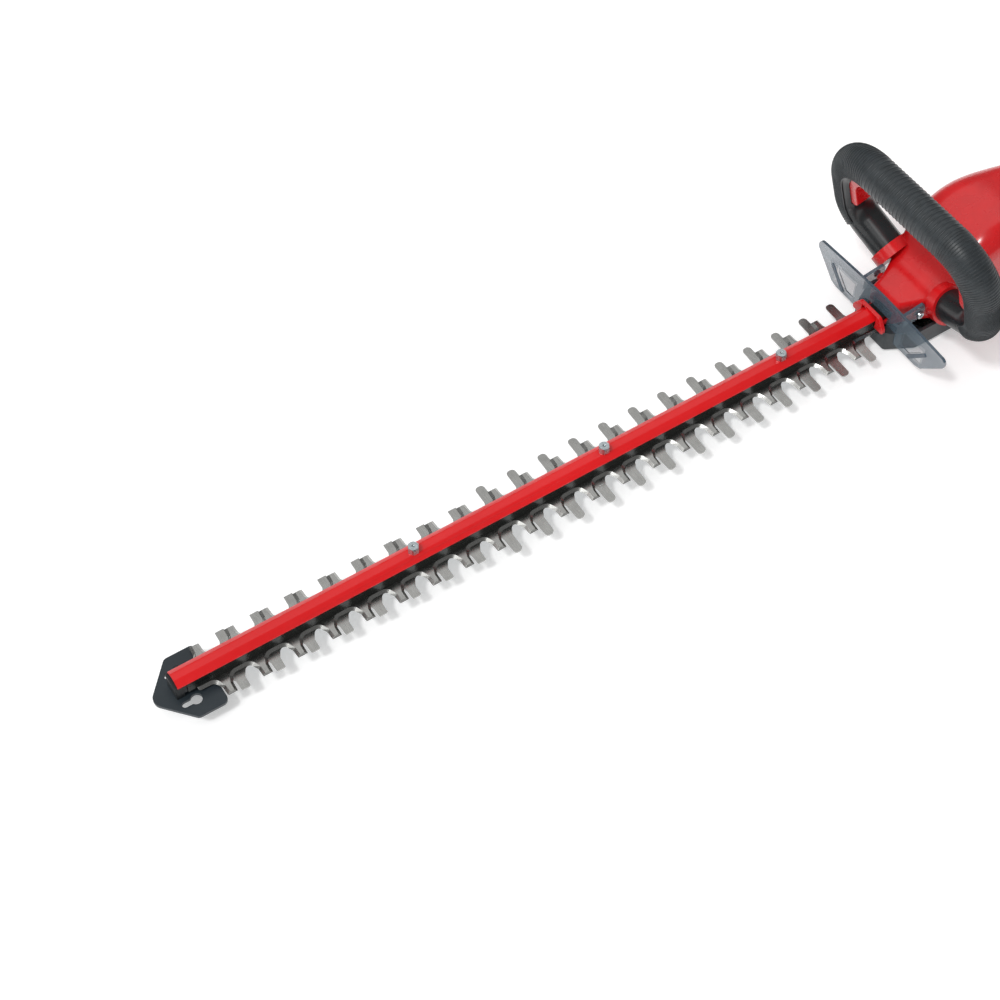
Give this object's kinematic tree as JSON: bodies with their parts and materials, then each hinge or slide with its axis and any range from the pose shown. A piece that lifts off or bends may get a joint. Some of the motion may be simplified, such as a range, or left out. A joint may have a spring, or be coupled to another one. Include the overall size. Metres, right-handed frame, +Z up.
{
  "type": "hedge trimmer",
  "caption": "Long-bar battery hedge trimmer with two toothed sliding blades, red bar cover, arrowhead tip guard, smoke hand guard, front loop handle and rear trigger handle.",
  "frame": {"origin": "on the resting surface, straight below the crank shaft", "axes": "+X from the blade tip towards the battery, +Y to the tool's left side, +Z up"},
  "size_m": [1.0588, 0.194, 0.1588],
  "materials": {
    "red_powder_coat": "gloss powder coat",
    "black_anodised": "black anodised",
    "blade_steel": "ground steel",
    "zinc_steel": "zinc plated",
    "tip_plastic": "moulded satin plastic",
    "black_plastic": "moulded matt plastic",
    "red_plastic": "moulded gloss plastic",
    "smoke_plastic": "clear smoke plastic",
    "grip_rubber": "ribbed soft grip",
    "cast_alloy": "painted die casting",
    "gear_steel": "machined steel",
    "board_green": "coated circuit board",
    "cell_wrap": "shrink sleeve"
  },
  "bodies": {
    "frame": {"bar_bolts": "zinc_steel", "bar_cover": "red_powder_coat", "bar_nuts": "zinc_steel", "bar_spacers": "gear_steel", "blade_carrier": "black_anodised", "control_board": "board_green", "crank_bearings": "gear_steel", "front_grip": "grip_rubber", "front_handle_back_shell": "black_plastic", "front_handle_front_shell": "black_plastic", "front_micro_switch": "black_plastic", "front_switch_springs": "zinc_steel", "gearbox_bell": "cast_alloy", "gearbox_screws": "zinc_steel", "gearbox_tray": "cast_alloy", "guard_screws": "zinc_steel", "hand_guard": "smoke_plastic", "heat_sink": "black_anodised", "housing_left": "red_plastic", "housing_right": "red_plastic", "housing_screws": "zinc_steel", "lock_off_spring": "zinc_steel", "lower_rail": "zinc_steel", "main_switch": "black_plastic", "motor_can": "gear_steel", "motor_magnets": "cast_alloy", "nose_block": "black_plastic", "nose_collar": "red_plastic", "rear_foot": "grip_rubber", "rear_grip": "grip_rubber", "rubber_feet": "grip_rubber", "terminal_block": "black_plastic", "tip_guard": "tip_plastic", "tip_screw": "zinc_steel", "trigger_pin": "zinc_steel", "trigger_spring": "zinc_steel"},
    "crank": {"crank_shaft": "gear_steel", "drive_gear": "gear_steel"},
    "rotor": {"rotor": "gear_steel", "pinion": "gear_steel", "cooling_fan": "black_plastic"},
    "upper_blade": {"upper_blade": "blade_steel"},
    "lower_blade": {"lower_blade": "blade_steel"},
    "front_paddle": {"front_switch_paddle": "red_plastic"},
    "trigger": {"trigger": "black_plastic"},
    "lock_off": {"lock_off_button": "black_plastic"},
    "battery": {"battery_case_upper": "black_plastic", "battery_case_lower": "black_plastic", "battery_cells": "cell_wrap"},
    "battery_latch": {"battery_latch": "red_plastic"}
  },
  "joints": [
    {"name": "crank_turn", "type": "hinge", "parent": "frame", "child": "crank", "pos_m": [0, 0, 0.028], "axis": [0, 0, -1], "range_deg": [-90, 30]},
    {"name": "rotor_turn", "type": "hinge", "parent": "frame", "child": "rotor", "pos_m": [0.033, 0, 0.06], "axis": [0, 0, -1], "range_deg": [-102, 306]},
    {"name": "upper_blade_slide", "type": "slide", "parent": "frame", "child": "upper_blade", "axis": [1, 0, 0], "range_m": [-0.00943, 0.00315]},
    {"name": "lower_blade_slide", "type": "slide", "parent": "frame", "child": "lower_blade", "axis": [1, 0, 0], "range_m": [-0.00315, 0.00943]},
    {"name": "front_paddle_press", "type": "slide", "parent": "frame", "child": "front_paddle", "axis": [-0.2857, 0, 0.9583], "range_m": [0, 0.004], "stiffness_N_per_m": 900, "springref_m": -0.004, "deforming": ["front_switch_springs"]},
    {"name": "trigger_pull", "type": "hinge", "parent": "frame", "child": "trigger", "pos_m": [0.14, 0, 0.0835], "axis": [0, -1, 0], "range_deg": [0, 9], "stiffness_Nm_per_rad": 1.2, "springref_deg": -6.88, "deforming": ["trigger_spring"]},
    {"name": "lock_off_press", "type": "slide", "parent": "frame", "child": "lock_off", "axis": [0, 0, -1], "range_m": [0, 0.003], "stiffness_N_per_m": 700, "springref_m": -0.003, "deforming": ["lock_off_spring"]},
    {"name": "battery_slide", "type": "slide", "parent": "frame", "child": "battery", "axis": [0, 0, 1], "range_m": [0, 0.075]},
    {"name": "battery_latch_press", "type": "slide", "parent": "battery", "child": "battery_latch", "axis": [0, 0, -1], "range_m": [0, 0.0025], "stiffness_N_per_m": 500, "springref_m": -0.003}
  ],
  "couplings": [
    {"joint": "rotor_turn", "follows": "crank_turn", "ratio": -3.4},
    {"joint": "upper_blade_slide", "follows": "crank_turn", "m_per_rad": 0.006},
    {"joint": "lower_blade_slide", "follows": "crank_turn", "m_per_rad": -0.006}
  ]
}
